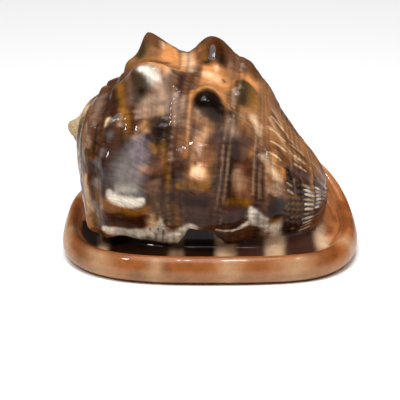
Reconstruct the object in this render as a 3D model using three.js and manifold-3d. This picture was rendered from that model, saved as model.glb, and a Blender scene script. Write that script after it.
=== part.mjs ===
// A bullmouth helmet shell resting on its aperture face, as one solid. Millimetres, +Z up, origin
// under the centre of the shell on the plane it rests on. The spire points to -X, the siphonal
// canal to +X, and the thick outer lip lies along the front, towards -Y.
// The shell is a knobbed body whorl with its spire, standing on a lip and shield that run all the
// way round and turn up into the canal. A toothed slit opens below, into the hollow body chamber.
import * as THREE from "three";
import { mergeVertices } from "three/addons/utils/BufferGeometryUtils.js";
import Module from "manifold-3d";

const DEG = Math.PI / 180;

// Driving dimensions. Places are given from the coiling axis, this far to the right of the origin
// and behind it.
const AXIS_X = 0.5;
const AXIS_Y = 3.4;
const APEX_X = -72.5;
const CANAL_END_X = 60;
const AXIS_HEIGHT = 45; // of the coiling axis, above the middle of the shell
const AXIS_DROP = 0.24; // the axis sinks by this much for each millimetre towards the canal
const OVERHANG_HEIGHT = 15.5; // of the body whorl's underside, above the lip
const OVERHANG_STEP = 10.5; // how much higher it is in the middle of the lip
const JOINED_HEIGHT = 11.5; // the same where the body whorl runs into the canal and the shield
const JOINED_TUCK = 0.1; // share of the radius by which the whorl draws in above the canal's half
const RIM_CENTRE_Y = -3;
const RIM_HALF_LENGTH = 75;
const RIM_FRONT = 59;
const RIM_BACK = 58;
const LIP_HEIGHT = 14;
const SHIELD_HEIGHT = 8.5;
const LEDGE_DROP = 2.6; // from the crest of the lip down to the ledge behind it
const CANAL_RISE = 29;
const CANAL_BEARING = 27; // in degrees from +X towards the back
const SPIRE_RISE = 12; // of the shield, where it climbs on to the spire
const CHAMBER_FLOOR = 9.5;
const SLIT_X = -3;
const SLIT_Y = -11;
const SLIT_HALF_LENGTH = 50;
const SLIT_HALF_WIDTH = 7;
const TOOTH_COUNT = 19; // on each side of the slit
const TOOTH_SPACING = 4.9;

// Steps of the faceted surfaces.
const SEEN_STEPS = 58; // round the body whorl, and over its part that lies on the shield
const HIDDEN_STEPS = 6;
const RIM_STEPS = 60;

// Outline of the body whorl beside the lip and over the back, as [x, radius from the axis] at the
// same landmarks from the apex to the canal: 5 is the last suture, 8 the shoulder, and 10, 11 and
// 12 are the lower rows of knobs.
const LIP_OUTLINE = [
  [APEX_X, 0], [-71.5, 2.6], [-67.5, 7], [-65.5, 13], [-65, 20], [-64, 28], [-59.5, 37], [-49.5, 44.5],
  [-35, 49.5], [-20, 53], [-5, 54], [10, 52.3], [29, 47], [41, 40], [50, 31], [56, 20], [59, 10],
  [CANAL_END_X, 0],
];
const BACK_OUTLINE = [
  [APEX_X, 0], [-71.3, 2.4], [-67.3, 5.5], [-64, 9.5], [-60.5, 14], [-56.5, 19], [-49.5, 26], [-40.5, 34],
  [-27, 43], [-13, 47.5], [3, 49.5], [18.5, 46.5], [28, 41], [37.5, 32], [46, 22], [53, 15], [58, 7.5],
  [CANAL_END_X, 0],
];
const SUTURE = 5;
const SHOULDER = 8;
const LAST_LANDMARK = LIP_OUTLINE.length - 1;

// Share of the full radius at angles round the axis. 0 faces the front, 90 the top, 180 the back
// and 270 the ground.
const SECTION = [
  [-90, 0.9], [-65, 1], [-42, 1.12], [-20, 1.06], [5, 1], [90, 1], [135, 0.97], [180, 0.95], [215, 0.98],
  [245, 0.95], [270, 0.9],
];

// Rows of knobs. The lean is towards the spire and the tail is the stretch towards the canal. Each
// knob has its angle, height, width, and bluntness: 1 is a thorn and 3 a rounded boss.
const KNOB_ROWS = [
  {
    landmark: SHOULDER, lean: 0.3, ridge: 1.2, tail: 1.2,
    knobs: [
      [-8, 5, 12, 2.4], [53, 12, 9.5, 2.2], [102, 14, 8.5, 1.6], [150, 10, 9, 1.9], [197, 8, 9, 2],
      [240, 5, 8, 2],
    ],
  },
  { landmark: 8.6, lean: 0, ridge: 0, tail: 1.2, knobs: [[57, 5, 7, 2.4]] },
  {
    landmark: 10, lean: 0, ridge: 1.2, tail: 1,
    knobs: [
      [9, 9, 8.5, 2.4], [42, 13, 10, 2.6], [96, 12, 9.5, 3.2], [143, 9, 9.5, 2.5], [188, 7, 9, 2.2],
      [232, 4, 8, 2],
    ],
  },
  {
    landmark: 11, lean: -0.1, ridge: 0.9, tail: 1.1,
    knobs: [
      [-7, 4.5, 8, 2.4], [34, 7.5, 7, 2.2], [62, 7, 7, 2.2], [94, 7.5, 6.5, 2.4], [129, 5.5, 8, 2.2],
      [171, 4, 7, 2], [214, 4, 7, 2],
    ],
  },
  {
    landmark: 12, lean: -0.1, ridge: 0.8, tail: 1.1,
    knobs: [
      [-3, 4, 7, 2], [9, 3.5, 5, 2], [23, 3, 6.5, 2], [54, 3, 6.5, 2], [86, 4.5, 7.5, 2.2], [121, 4, 7, 2],
      [160, 3.5, 7, 2], [200, 3, 7, 2],
    ],
  },
];

// Nodules along the cords of the ramp, between the last suture and the shoulder.
const RAMP_CORDS = [
  { landmark: 6.1, height: 1.5, count: 17 },
  { landmark: 7.1, height: 2, count: 15 },
];

const clamp01 = (v) => Math.min(1, Math.max(0, v));
const smooth = (v) => clamp01(v) ** 2 * (3 - 2 * clamp01(v));
const mix = (a, b, t) => a + (b - a) * t;
const wrapDegrees = (a) => ((((a + 180) % 360) + 360) % 360) - 180;
const hump = (v, centre, width) => Math.exp(-(((v - centre) / width) ** 2));
const turnHump = (a, centre, width) => hump(wrapDegrees(a - centre), 0, width);
const steps = (count, make) => Array.from({ length: count }, (_, i) => make(i));

// The value between the rows of an outline, on a Catmull-Rom curve.
function alongOutline(outline, landmark, column) {
  const last = outline.length - 1;
  const i = Math.min(last - 1, Math.max(0, Math.floor(landmark)));
  const t = landmark - i;
  const p = [i - 1, i, i + 1, i + 2].map((k) => outline[Math.min(last, Math.max(0, k))][column]);
  const slopeIn = (p[2] - p[0]) / 2;
  const slopeOut = (p[3] - p[1]) / 2;
  const t2 = t * t;
  const t3 = t2 * t;
  return (2 * t3 - 3 * t2 + 1) * p[1] + (t3 - 2 * t2 + t) * slopeIn
    + (3 * t2 - 2 * t3) * p[2] + (t3 - t2) * slopeOut;
}

// An angle round the axis between -90, at the ground, and 270.
const roundAxis = (angle) => wrapDegrees(angle - 90) + 90;

// The section's share of the full radius at an angle.
function sectionShare(angle) {
  const a = roundAxis(angle);
  const next = Math.max(1, SECTION.findIndex(([to]) => a <= to));
  const [from, low] = SECTION[next - 1];
  const [to, high] = SECTION[next];
  return mix(low, high, smooth((a - from) / (to - from)));
}

// How much of the lip's outline counts at an angle: all beside the lip, none over the back.
function lipShare(angle) {
  const a = roundAxis(angle);
  return a < 180 ? 1 - smooth((a + 5) / 105) : smooth((a - 215) / 55);
}

const axisHeight = (x) => AXIS_HEIGHT - AXIS_DROP * x;

// Height of the body whorl's underside, which comes down towards the canal and at the back.
function undersideHeight(x, angle) {
  const atCanal = smooth((x + 4) / 18);
  const atBack = smooth((-Math.cos(angle * DEG) - 0.2) / 0.6);
  const overLip = OVERHANG_HEIGHT + OVERHANG_STEP * smooth((x + 17) / 8);
  return mix(overLip, JOINED_HEIGHT, Math.max(atCanal, atBack));
}

// Share of the radius that is left where the whorl draws in to join the lip.
const joinedShare = (x, angle) => 1 - JOINED_TUCK * smooth((x + 4) / 18) * turnHump(angle, -35, 20);

// How much fuller the whorl is where it comes down to the lip beside the spire.
const fullness = (landmark, angle) => 1 + 0.24 * hump(landmark, 6.2, 1) * turnHump(angle, -50, 24);

// A height that never falls far below the floor, with a rounded turn of the given size.
function softFloor(z, floor, round) {
  const d = (z - floor) / round;
  return floor + round * (d > 8 ? d : Math.log1p(Math.exp(d)));
}

// A point of the smooth body whorl, or inside it at a share of the radius and above a floor.
function bodyPoint(landmark, angle, share = 1, floor = null) {
  const lip = lipShare(angle);
  const x = mix(alongOutline(BACK_OUTLINE, landmark, 0), alongOutline(LIP_OUTLINE, landmark, 0), lip);
  const full = mix(alongOutline(BACK_OUTLINE, landmark, 1), alongOutline(LIP_OUTLINE, landmark, 1), lip);
  const shape = sectionShare(angle) * joinedShare(x, angle) * fullness(landmark, angle);
  const radius = full * shape * share;
  const z = axisHeight(x) + radius * Math.sin(angle * DEG);
  const floored = softFloor(z, floor ?? undersideHeight(x, angle), 3);
  const towardsApex = smooth((-52 - x) / 12);
  return [x, -radius * Math.cos(angle * DEG), mix(floored, z, towardsApex)];
}

// The relief of the spire: whorls that swell between their spiral sutures.
function spireRelief(radius, angle) {
  const sutureRadius = 27;
  const shrinkPerTurn = 1.52;
  if (radius < 1.2 || radius > 34) return 0;
  const turns = Math.log(radius / sutureRadius) / Math.log(shrinkPerTurn) + angle / 360;
  const place = turns - Math.floor(turns);
  const size = Math.min(1, radius / 12) * (1 - smooth((radius - 26) / 8));
  return size * (2.2 * Math.sin(Math.PI * place) ** 0.7 - 1.2);
}

const KNOBS = KNOB_ROWS.flatMap((row) => row.knobs.map(([angle, height, width, bluntness]) => ({
  foot: bodyPoint(row.landmark, angle), tail: row.tail, height, width, bluntness,
  push: [-row.lean, -Math.cos(angle * DEG), Math.sin(angle * DEG)],
})));

// Height of the rows and of the nodules on the cords, which follow the turn of the whorl.
function cordRelief(landmark, angle) {
  let lift = 0;
  for (const row of KNOB_ROWS) lift += row.ridge * hump(landmark, row.landmark, 0.33);
  for (const cord of RAMP_CORDS) {
    const beads = 0.5 + 0.5 * Math.cos(cord.count * angle * DEG);
    lift += cord.height * hump(landmark, cord.landmark, 0.3) * (0.25 + beads);
  }
  return lift;
}

// A point of the body whorl with its knobs, cords and spire.
function ornatePoint(landmark, angle) {
  const p = bodyPoint(landmark, angle);
  const radius = Math.hypot(p[1], p[2] - axisHeight(p[0]));
  const side = smooth((radius - 20) / 12);
  const alongAxis = -(1 - side) - 0.7 * hump(landmark, SHOULDER - 1, 1.4);
  const normal = [alongAxis, -side * Math.cos(angle * DEG), side * Math.sin(angle * DEG)];
  const lift = cordRelief(landmark, angle) + (landmark < SUTURE + 1.5 ? spireRelief(radius, angle) : 0);
  const aboveLip = smooth((p[2] - 12) / 8);
  const q = p.map((v, i) => v + normal[i] * lift * aboveLip);
  for (const knob of KNOBS) {
    const [dx, dy, dz] = p.map((v, i) => v - knob.foot[i]);
    const distance = Math.hypot(dx > 0 ? dx / knob.tail : dx, dy, dz) / knob.width;
    if (distance > 3) continue;
    const rise = knob.height * aboveLip * Math.exp(-0.7 * distance ** knob.bluntness);
    knob.push.forEach((v, i) => { q[i] += v * rise; });
  }
  return q;
}

// Outline of the rim in plan, as the distance from its centre, at an angle from +X to the back.
function rimReach(degrees) {
  const c = Math.abs(Math.cos(degrees * DEG));
  const s = Math.sin(degrees * DEG);
  const half = s < 0 ? RIM_FRONT : RIM_BACK;
  const power = 2.6;
  const reach = ((c / RIM_HALF_LENGTH) ** power + (Math.abs(s) / half) ** power) ** (-1 / power);
  const corner = 3 * turnHump(degrees, -42, 18) + 1.5 * turnHump(degrees, 215, 25);
  return reach + corner - 13 * turnHump(degrees, CANAL_BEARING, 17);
}

// How far the rim is raised at an angle: the upturned canal, and the shield on the spire.
const canalLift = (degrees) => CANAL_RISE * turnHump(degrees, CANAL_BEARING, 22);
const spireLift = (degrees) => SPIRE_RISE * turnHump(degrees, 148, 30);

// A section through the rim, from the neck under the body whorl over the crest to the flat face,
// as [distance in from the edge, height] beside the lip and the same beside the shield.
function rimSection(degrees) {
  const lip = smooth((0.75 - Math.sin(degrees * DEG)) / 0.9);
  const lift = canalLift(degrees) + spireLift(degrees);
  const crest = mix(SHIELD_HEIGHT, LIP_HEIGHT, lip) + lift;
  const ledge = crest - LEDGE_DROP - 0.3 * lip * lift;
  const under = 0.75 * canalLift(degrees);
  const reach = rimReach(degrees);
  const neck = mix(0.24, 0.32, lip) * reach;
  const waist = mix(under, crest, 0.5);
  const lipSide = [
    [neck + 6, 34], [neck, 32], [neck - 1.5, ledge + 5], [neck - 6, ledge + 0.6], [10.5, ledge], [7, crest - 1],
    [4, crest], [1.2, crest - 2.8], [0, waist], [0.9, under + 3.4], [3.8, under + 0.8],
  ];
  const shieldSide = [
    [neck + 6, 34], [neck, 30], [neck - 2.5, ledge + 12], [neck - 4.5, ledge + 6.5], [7.6, ledge + 3.6],
    [5.6, crest + 0.4], [3.6, crest], [1.3, crest - 1.4], [0, waist], [0.8, under + 2.4], [3, under + 0.6],
  ];
  const face = [[8, 0.7 * under], [15, 0.18 * under], [21, 0]];
  const blended = lipSide.map((_, i) => [0, 1].map((k) => mix(shieldSide[i][k], lipSide[i][k], lip)));
  return [...blended, ...face].map(([inset, z]) => [
    (reach - inset) * Math.cos(degrees * DEG), RIM_CENTRE_Y + (reach - inset) * Math.sin(degrees * DEG), z,
  ]);
}

// A closed body from rings of equal length between two end points, as merged position geometry.
function ringSolid(first, rings, last) {
  const points = [first, ...rings.flat(), last];
  const size = rings[0].length;
  const at = (ring, i) => 1 + ring * size + (i % size);
  const faces = [];
  for (let i = 0; i < size; i += 1) {
    faces.push([0, at(0, i + 1), at(0, i)]);
    faces.push([points.length - 1, at(rings.length - 1, i), at(rings.length - 1, i + 1)]);
    for (let r = 0; r + 1 < rings.length; r += 1) {
      faces.push([at(r, i), at(r, i + 1), at(r + 1, i + 1)]);
      faces.push([at(r, i), at(r + 1, i + 1), at(r + 1, i)]);
    }
  }
  const geometry = new THREE.BufferGeometry();
  geometry.setAttribute("position", new THREE.Float32BufferAttribute(points.flat(), 3));
  geometry.setIndex(faces.flat());
  return geometry;
}

// The body whorl and spire.
function bodyGeometry() {
  const spireLandmarks = [0.6, 1.3, 2, 2.7, 3.2, 3.7, 4.2, 4.7, 5.2, 5.7, 6.1, 6.5, 6.8, 7.1];
  const whorlLandmarks = [
    7.4, 7.7, 7.85, 8, 8.2, 8.45, 8.75, 9.1, 9.45, 9.7, 9.9, 10.1, 10.35, 10.6, 10.8, 11, 11.25, 11.55,
    11.8, 12.1, 12.5, 13, 13.8, 14.6, 15.4, 16.2,
  ];
  const angles = [
    ...steps(SEEN_STEPS, (i) => mix(-66, 216, i / SEEN_STEPS)),
    ...steps(HIDDEN_STEPS, (i) => mix(216, 294, i / HIDDEN_STEPS)),
  ];
  const rings = [...spireLandmarks, ...whorlLandmarks].map((k) => angles.map((a) => ornatePoint(k, a)));
  return ringSolid(bodyPoint(0, 0), rings, bodyPoint(LAST_LANDMARK, 0));
}

// The outer lip, the shield and the canal's spout, with the flat face below.
function rimGeometry() {
  const sections = steps(RIM_STEPS, (i) => rimSection((i / RIM_STEPS) * 360));
  const rings = sections[0].map((_, r) => sections.map((section) => section[r]));
  return ringSolid([0, RIM_CENTRE_Y, 34], rings, [0, RIM_CENTRE_Y, 0]);
}

// Middle line of the slit, which bows towards the shield at both ends.
const slitCentre = (x) => SLIT_Y + 0.0012 * x * x;

// A long rounded outline of the slit at a height.
function slitRing(halfLength, halfWidth, z) {
  const corners = 32;
  return steps(corners, (i) => {
    const c = Math.cos((i / corners) * 2 * Math.PI);
    const s = Math.sin((i / corners) * 2 * Math.PI);
    const x = SLIT_X + halfLength * Math.sign(c) * Math.abs(c) ** 0.75;
    return [x, slitCentre(x) + halfWidth * Math.sign(s) * Math.abs(s) ** 0.6, z];
  });
}

// The slit: rolled edges below, a narrow throat between the teeth, and a way up to the chamber.
function slitGeometry() {
  const rings = [[8, 8.5, -1], [5, 6, 0.2], [2, 3, 2.4], [0, 0.8, 5.5], [-1, 0, 8], [-3, 2, 12], [-12, 4, 30]]
    .map(([longer, wider, z]) => slitRing(SLIT_HALF_LENGTH + longer, SLIT_HALF_WIDTH + wider, z));
  return ringSolid([SLIT_X, SLIT_Y, -1], rings, [SLIT_X, SLIT_Y, 30]);
}

// The body chamber, which winds from above the slit up the front to the top, round the columella.
function chamberGeometry() {
  const from = -84;
  const to = 146;
  const count = 12;
  const outside = [
    [7.4, 0.7], [8.1, 0.79], [9, 0.84], [10, 0.85], [11, 0.85], [12, 0.83], [13, 0.78], [13.8, 0.64],
  ];
  const columella = [[13.4, 0.3], [12.2, 0.17], [10.6, 0.13], [9.2, 0.13], [8, 0.16], [7.3, 0.4]];
  const rings = steps(count, (k) => {
    const angle = mix(from, to, k / (count - 1));
    const besideLip = 1 - 0.13 * turnHump(angle, -33, 24);
    return [...outside, ...columella].map(([landmark, share]) => (
      bodyPoint(landmark, angle, share * besideLip, CHAMBER_FLOOR)
    ));
  });
  const middle = (ring) => [0, 1, 2].map((i) => ring.reduce((sum, p) => sum + p[i], 0) / ring.length);
  return ringSolid(middle(rings[0]), rings, middle(rings[count - 1]));
}

// The groove of the siphonal canal, from the end of the slit round and up the outside of its spout.
function canalGeometry() {
  const route = new THREE.CatmullRomCurve3([
    [40, -9, 8], [49, -4, 2], [55, 4, 2], [59, 12, 9], [59.5, 20, 19], [58, 26, 30], [55, 29, 46],
  ].map((p) => new THREE.Vector3(...p)));
  const count = 12;
  const corners = 10;
  const frames = route.computeFrenetFrames(count, false);
  const rings = steps(count + 1, (k) => {
    const centre = route.getPoint(k / count);
    const radius = mix(4.2, 5.4, k / count);
    return steps(corners, (j) => {
      const a = (j / corners) * 2 * Math.PI;
      return centre.clone().addScaledVector(frames.normals[k], radius * Math.cos(a))
        .addScaledVector(frames.binormals[k], radius * Math.sin(a)).toArray();
    });
  });
  return ringSolid(route.getPoint(0).toArray(), rings, route.getPoint(1).toArray());
}

// One tooth: a ridge across an edge of the slit, on the lip's side (-1) or the columella's (1).
function toothGeometry(x, side) {
  const geometry = new THREE.OctahedronGeometry(1, 0);
  geometry.scale(1.7, side < 0 ? 6.5 : 8.5, 3);
  geometry.rotateX(-side * 0.6);
  geometry.translate(x, slitCentre(x) + side * (SLIT_HALF_WIDTH + 2.8), 5.6);
  return geometry;
}

const wasm = await Module();
wasm.setup();

// A geometry as a solid with its faces out.
function solidOf(geometry) {
  const plain = geometry.clone();
  plain.deleteAttribute("normal");
  plain.deleteAttribute("uv");
  const merged = mergeVertices(plain, 1e-3);
  const vertProperties = new Float32Array(merged.attributes.position.array);
  const triVerts = new Uint32Array(merged.index.array);
  const make = () => new wasm.Manifold(new wasm.Mesh({ numProp: 3, vertProperties, triVerts }));
  const solid = make();
  if (solid.volume() > 0) return solid;
  for (let i = 0; i < triVerts.length; i += 3) triVerts.subarray(i, i + 3).reverse();
  return make();
}

// The whole shell as one solid.
function shellSolid() {
  let shell = solidOf(bodyGeometry()).add(solidOf(rimGeometry()));
  for (const geometry of [slitGeometry(), chamberGeometry(), canalGeometry()]) {
    shell = shell.subtract(solidOf(geometry));
  }
  for (const side of [-1, 1]) {
    for (let i = 0; i < TOOTH_COUNT; i += 1) {
      const x = SLIT_X + (i - (TOOTH_COUNT - 1) / 2) * TOOTH_SPACING;
      shell = shell.add(solidOf(toothGeometry(x, side)));
    }
  }
  return shell;
}

const solid = shellSolid();
const { vertProperties, triVerts } = solid.getMesh();
const geometry = new THREE.BufferGeometry();
geometry.setAttribute("position", new THREE.Float32BufferAttribute(vertProperties, 3));
geometry.setIndex(Array.from(triVerts));
geometry.computeVertexNormals();
const material = new THREE.MeshStandardMaterial({ color: 0x9c6b45, roughness: 0.28, metalness: 0 });
const shell = new THREE.Mesh(geometry, material);
shell.name = "shell";
shell.position.set(AXIS_X, AXIS_Y, 0);

const part = new THREE.Group();
part.add(shell);
export default part;
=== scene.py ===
"""A bullmouth helmet shell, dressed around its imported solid.

The shell is one closed mesh, made again from the solid's own formulas at a finer step, with the
cords and growth ribs that the solid leaves out. Lengths are in millimetres until finish_mesh.
Two numbers give a place on the body whorl: the landmark, which counts the points of its outline
from the apex to the canal, and the angle round the coiling axis, which is 0 at the front, 90 at the
top and 180 at the back.
"""

import math

import bmesh
import bpy
import numpy as np
from mathutils import Matrix, Vector, kdtree


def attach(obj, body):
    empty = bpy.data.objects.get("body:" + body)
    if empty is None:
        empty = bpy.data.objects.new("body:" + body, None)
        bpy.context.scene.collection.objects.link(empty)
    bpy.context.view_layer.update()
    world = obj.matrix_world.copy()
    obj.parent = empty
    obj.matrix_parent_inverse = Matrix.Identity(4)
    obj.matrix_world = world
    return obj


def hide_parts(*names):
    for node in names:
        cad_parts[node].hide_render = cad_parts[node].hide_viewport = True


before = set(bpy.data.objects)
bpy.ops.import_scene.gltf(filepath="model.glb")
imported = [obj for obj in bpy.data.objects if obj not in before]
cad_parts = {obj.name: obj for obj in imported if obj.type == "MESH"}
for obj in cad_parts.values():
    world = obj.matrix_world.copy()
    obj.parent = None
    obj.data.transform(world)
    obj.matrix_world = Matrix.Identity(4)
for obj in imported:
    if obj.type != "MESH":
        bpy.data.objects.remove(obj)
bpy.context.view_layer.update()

MM = 0.001

# Driving dimensions, the same as the solid's.
AXIS_X = 0.5
AXIS_Y = 3.4
APEX_X = -72.5
CANAL_END_X = 60
AXIS_HEIGHT = 45
AXIS_DROP = 0.24
OVERHANG_HEIGHT = 15.5
OVERHANG_STEP = 10.5
JOINED_HEIGHT = 11.5
JOINED_TUCK = 0.1
RIM_CENTRE_Y = -3
RIM_HALF_LENGTH = 75
RIM_FRONT = 59
RIM_BACK = 58
LIP_HEIGHT = 14
SHIELD_HEIGHT = 8.5
LEDGE_DROP = 2.6
CANAL_RISE = 29
CANAL_BEARING = 27
SPIRE_RISE = 12
CHAMBER_FLOOR = 9.5
CHAMBER_START = -84
CHAMBER_END = 146
SLIT_X = -3
SLIT_Y = -11
SLIT_HALF_LENGTH = 50
SLIT_HALF_WIDTH = 7
SLIT_BOW = 0.0012
TOOTH_COUNT = 19
TOOTH_SPACING = 4.9
TOOTH_HALF_LENGTHS = (5.8, 7.6)  # on the lip's side and on the shield's
TOOTH_HALF_WIDTH = 1.5
TOOTH_HALF_HEIGHT = 2.6
TOOTH_HEIGHT = 5.6
TOOTH_SETBACK = 2.8
TOOTH_LEAN = 0.6
WHORL_RADIUS = 27
WHORL_GROWTH = 1.52  # each whorl of the spire is this many times as wide as the one before
RIM_POWER = 2.6

LIP_OUTLINE = [
    (APEX_X, 0), (-71.5, 2.6), (-67.5, 7), (-65.5, 13), (-65, 20), (-64, 28), (-59.5, 37),
    (-49.5, 44.5), (-35, 49.5), (-20, 53), (-5, 54), (10, 52.3), (29, 47), (41, 40), (50, 31),
    (56, 20), (59, 10), (CANAL_END_X, 0),
]
BACK_OUTLINE = [
    (APEX_X, 0), (-71.3, 2.4), (-67.3, 5.5), (-64, 9.5), (-60.5, 14), (-56.5, 19), (-49.5, 26),
    (-40.5, 34), (-27, 43), (-13, 47.5), (3, 49.5), (18.5, 46.5), (28, 41), (37.5, 32), (46, 22),
    (53, 15), (58, 7.5), (CANAL_END_X, 0),
]
SUTURE = 5
SHOULDER = 8

SECTION = [
    (-90, 0.9), (-65, 1), (-42, 1.12), (-20, 1.06), (5, 1), (90, 1), (135, 0.97), (180, 0.95),
    (215, 0.98), (245, 0.95), (270, 0.9),
]

# Rows of knobs: landmark, lean towards the spire, ridge height and tail, then each knob's angle,
# height, width and bluntness.
KNOB_ROWS = [
    (SHOULDER, 0.3, 1.2, 1.2, [
        (-8, 5, 12, 2.4), (53, 12, 9.5, 2.2), (102, 14, 8.5, 1.6), (150, 10, 9, 1.9),
        (197, 8, 9, 2), (240, 5, 8, 2),
    ]),
    (8.6, 0, 0, 1.2, [(57, 5, 7, 2.4)]),
    (10, 0, 1.2, 1, [
        (9, 9, 8.5, 2.4), (42, 13, 10, 2.6), (96, 12, 9.5, 3.2), (143, 9, 9.5, 2.5), (188, 7, 9, 2.2),
        (232, 4, 8, 2),
    ]),
    (11, -0.1, 0.9, 1.1, [
        (-7, 4.5, 8, 2.4), (34, 7.5, 7, 2.2), (62, 7, 7, 2.2), (94, 7.5, 6.5, 2.4), (129, 5.5, 8, 2.2),
        (171, 4, 7, 2), (214, 4, 7, 2),
    ]),
    (12, -0.1, 0.8, 1.1, [
        (-3, 4, 7, 2), (9, 3.5, 5, 2), (23, 3, 6.5, 2), (54, 3, 6.5, 2), (86, 4.5, 7.5, 2.2),
        (121, 4, 7, 2), (160, 3.5, 7, 2), (200, 3, 7, 2),
    ]),
]
RAMP_CORDS = [(6.1, 1.5, 17), (7.1, 2, 15)]  # landmark, height and number of nodules

# Thin cords between the rows: landmark, height and number of beads round the turn.
THIN_CORDS = [
    (8.8, 0.25, 90), (9.05, 0.4, 96), (9.3, 0.35, 104), (9.48, 0.25, 90), (10.45, 0.25, 110),
    (10.62, 0.4, 118), (10.8, 0.4, 118), (11.5, 0.35, 120), (11.65, 0.35, 120), (11.8, 0.25, 110),
    (12.6, 0.3, 90), (12.85, 0.3, 96), (13.1, 0.3, 88), (13.35, 0.3, 80), (14.02, 0.5, 60),
    (5.4, 0.3, 60), (6.6, 0.3, 54),
]
CORD_WIDTH = 0.075  # in landmarks


def smooth(v):
    v = np.clip(v, 0, 1)
    return v * v * (3 - 2 * v)


def rise(v, start, width):
    """A soft step from 0 to 1 that begins at a start and takes a width."""
    return smooth((v - start) / width)


def fall(v, start, width):
    """The same step from 1 to 0."""
    return 1 - rise(v, start, width)


def mix(a, b, t):
    return a + (b - a) * t


def wrap_degrees(a):
    return (a + 180) % 360 - 180


def hump(v, centre, width):
    return np.exp(-(((v - centre) / width) ** 2))


def turn_hump(a, centre, width):
    return hump(wrap_degrees(a - centre), 0, width)


def sin_deg(a):
    return np.sin(np.radians(a))


def cos_deg(a):
    return np.cos(np.radians(a))


def curve_value(before, start, end, after, t):
    """A Catmull-Rom curve's value at a share of the way from its start to its end."""
    t2, t3 = t * t, t * t * t
    return (
        (2 * t3 - 3 * t2 + 1) * start + (t3 - 2 * t2 + t) * (end - before) / 2
        + (3 * t2 - 2 * t3) * end + (t3 - t2) * (after - start) / 2
    )


def along_outline(outline, landmark, column):
    """The value between the rows of an outline, on a Catmull-Rom curve."""
    values = np.array([row[column] for row in outline], float)
    last = len(values) - 1
    i = np.clip(np.floor(landmark).astype(int), 0, last - 1)
    near = [values[np.clip(i + k, 0, last)] for k in (-1, 0, 1, 2)]
    return curve_value(*near, landmark - i)


def round_axis(angle):
    """An angle round the axis between -90, at the ground, and 270."""
    return wrap_degrees(angle - 90) + 90


def section_share(angle):
    """The section's share of the full radius at an angle."""
    angles, shares = np.array(SECTION, float).T
    a = round_axis(angle)
    k = np.clip(np.searchsorted(angles, a), 1, len(angles) - 1)
    return mix(shares[k - 1], shares[k], smooth((a - angles[k - 1]) / (angles[k] - angles[k - 1])))


def lip_share(angle):
    """How much of the lip's outline counts at an angle: all beside the lip, none over the back."""
    a = round_axis(angle)
    return np.where(a < 180, fall(a, -5, 105), rise(a, 215, 55))


def axis_height(x):
    return AXIS_HEIGHT - AXIS_DROP * x


def underside_height(x, angle):
    """Height of the body whorl's underside, which comes down towards the canal and at the back."""
    at_canal = rise(x, -4, 18)
    at_back = rise(-cos_deg(angle), 0.2, 0.6)
    over_lip = OVERHANG_HEIGHT + OVERHANG_STEP * rise(x, -17, 8)
    return mix(over_lip, JOINED_HEIGHT, np.maximum(at_canal, at_back))


def joined_share(x, angle):
    """Share of the radius that is left where the whorl draws in to join the lip."""
    return 1 - JOINED_TUCK * rise(x, -4, 18) * turn_hump(angle, -35, 20)


def fullness(landmark, angle):
    """How much fuller the whorl is where it comes down to the lip beside the spire."""
    return 1 + 0.24 * hump(landmark, 6.2, 1) * turn_hump(angle, -50, 24)


def soft_floor(z, floor, rounding):
    """A height that never falls far below the floor, with a rounded turn of the given size."""
    return floor + rounding * np.logaddexp(0, (z - floor) / rounding)


def body_point(landmark, angle, share=1, floor=None):
    """A point of the smooth body whorl, or inside it at a share of the radius and above a floor."""
    landmark, angle = np.broadcast_arrays(np.asarray(landmark, float), np.asarray(angle, float))
    lip = lip_share(angle)
    x, full = (
        mix(along_outline(BACK_OUTLINE, landmark, k), along_outline(LIP_OUTLINE, landmark, k), lip)
        for k in (0, 1)
    )
    radius = full * section_share(angle) * joined_share(x, angle) * fullness(landmark, angle) * share
    z = axis_height(x) + radius * sin_deg(angle)
    floored = soft_floor(z, underside_height(x, angle) if floor is None else floor, 3)
    return np.stack([x, -radius * cos_deg(angle), mix(floored, z, rise(-x, 52, 12))], -1)


def spire_relief(radius, angle):
    """The relief of the spire: whorls that swell between their spiral sutures."""
    turns = np.log(np.maximum(radius, 1.2) / WHORL_RADIUS) / math.log(WHORL_GROWTH) + angle / 360
    size = np.minimum(1, radius / 12) * fall(radius, 26, 8)
    relief = size * (2.2 * np.sin(math.pi * (turns % 1)) ** 0.7 - 1.2)
    return np.where((radius < 1.2) | (radius > 34), 0, relief)


def cord_relief(landmark, angle):
    """Height of the rows and of the nodules on the cords, which follow the turn of the whorl."""
    lift = sum(row[2] * hump(landmark, row[0], 0.33) for row in KNOB_ROWS)
    for place, height, count in RAMP_CORDS:
        beads = 0.5 + 0.5 * cos_deg(count * angle)
        lift = lift + height * hump(landmark, place, 0.3) * (0.25 + beads)
    return lift


def ornate_point(landmark, angle):
    """A point of the body whorl with its knobs, cords and spire, as on the solid."""
    p = body_point(landmark, angle)
    radius = np.hypot(p[..., 1], p[..., 2] - axis_height(p[..., 0]))
    side = rise(radius, 20, 12)
    along_axis = -(1 - side) - 0.7 * hump(landmark, SHOULDER - 1, 1.4)
    normal = np.stack([along_axis, -side * cos_deg(angle), side * sin_deg(angle)], -1)
    lift = cord_relief(landmark, angle)
    lift = lift + np.where(landmark < SUTURE + 1.5, spire_relief(radius, angle), 0)
    above_lip = rise(p[..., 2], 12, 8)
    q = p + normal * (lift * above_lip)[..., None]
    for place, lean, _, tail, knobs in KNOB_ROWS:
        for knob_angle, height, width, bluntness in knobs:
            d = p - body_point(place, knob_angle)
            d[..., 0] = np.where(d[..., 0] > 0, d[..., 0] / tail, d[..., 0])
            distance = np.linalg.norm(d, axis=-1) / width
            lifted = height * above_lip * np.exp(-0.7 * np.minimum(distance, 6) ** bluntness)
            push = np.array([-lean, -cos_deg(knob_angle), sin_deg(knob_angle)])
            q = q + push * lifted[..., None]
    return q


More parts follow.
